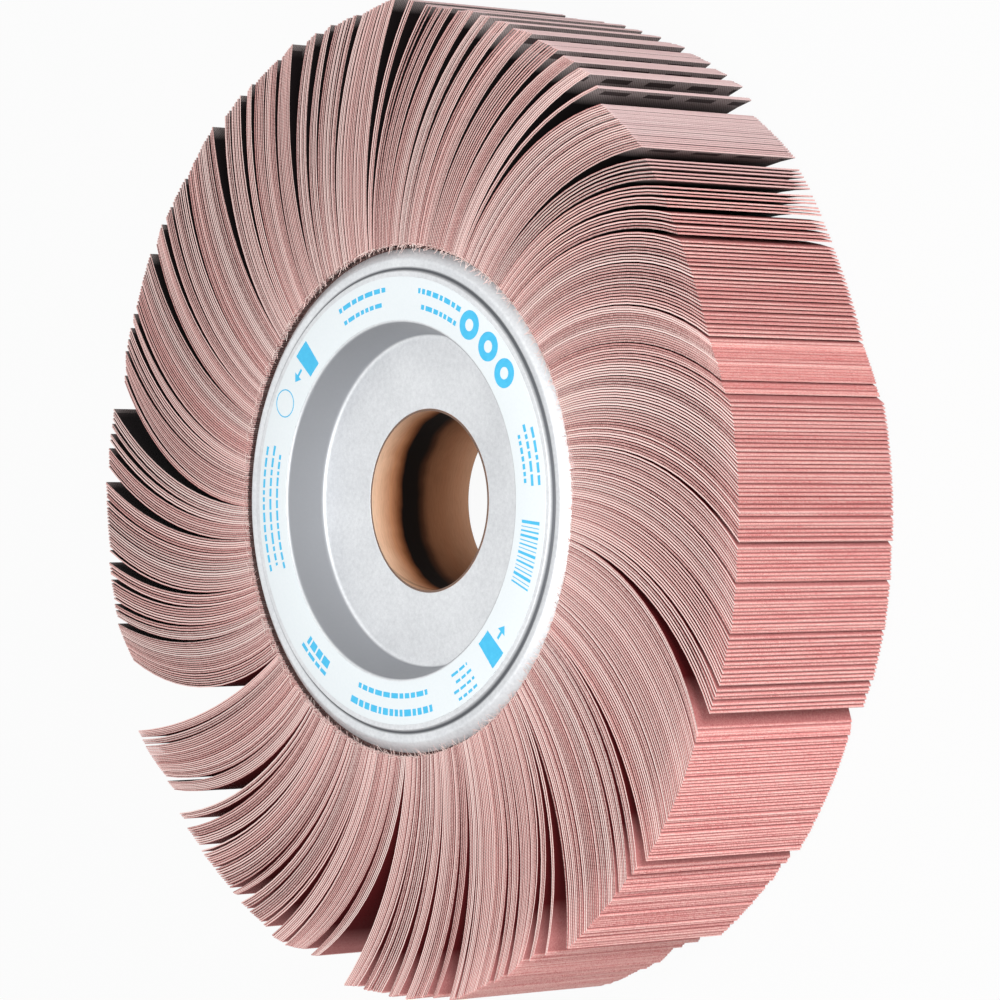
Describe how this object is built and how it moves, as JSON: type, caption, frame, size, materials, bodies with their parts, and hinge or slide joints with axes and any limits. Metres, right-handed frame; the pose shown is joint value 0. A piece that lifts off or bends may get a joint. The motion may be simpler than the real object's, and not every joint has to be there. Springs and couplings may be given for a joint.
{
  "type": "flap wheel",
  "caption": "Grinding wheel of curved abrasive cloth flaps set in a ring between dished steel flanges, with a plain through bore.",
  "frame": {"origin": "middle of the bore, on its axis, halfway between the two flanges", "axes": "+Z along the bore towards the labelled front flange; +X and +Y across the wheel. The wheel lies on its rear flange."},
  "size_m": [0.2396, 0.242, 0.0521],
  "materials": {
    "abrasive_cloth": "cotton cloth coated with fine red grit",
    "galvanised_steel": "satin galvanised sheet",
    "bore_paper": "hard brown paper tube",
    "resin": "cast resin",
    "label_paper": "coated label paper with plain blue bars and discs"
  },
  "bodies": {
    "root": {"core_tube": "bore_paper", "flap_pack_01": "abrasive_cloth", "flap_pack_02": "abrasive_cloth", "flap_pack_03": "abrasive_cloth", "flap_pack_04": "abrasive_cloth", "flap_pack_05": "abrasive_cloth", "flap_pack_06": "abrasive_cloth", "flap_pack_07": "abrasive_cloth", "flap_pack_08": "abrasive_cloth", "flap_pack_09": "abrasive_cloth", "flap_pack_10": "abrasive_cloth", "flap_pack_11": "abrasive_cloth", "flap_pack_12": "abrasive_cloth", "flap_pack_13": "abrasive_cloth", "flap_pack_14": "abrasive_cloth", "flap_pack_15": "abrasive_cloth", "flap_pack_16": "abrasive_cloth", "flap_pack_17": "abrasive_cloth", "flap_pack_18": "abrasive_cloth", "flap_pack_19": "abrasive_cloth", "flap_pack_20": "abrasive_cloth", "flap_pack_21": "abrasive_cloth", "flap_pack_22": "abrasive_cloth", "flap_pack_23": "abrasive_cloth", "flap_pack_24": "abrasive_cloth", "flap_pack_25": "abrasive_cloth", "flap_pack_26": "abrasive_cloth", "flap_pack_27": "abrasive_cloth", "flap_pack_28": "abrasive_cloth", "flap_pack_29": "abrasive_cloth", "flap_pack_30": "abrasive_cloth", "front_flange": "galvanised_steel", "front_label": "label_paper", "rear_flange": "galvanised_steel", "resin_core": "resin"}
  },
  "joints": []
}
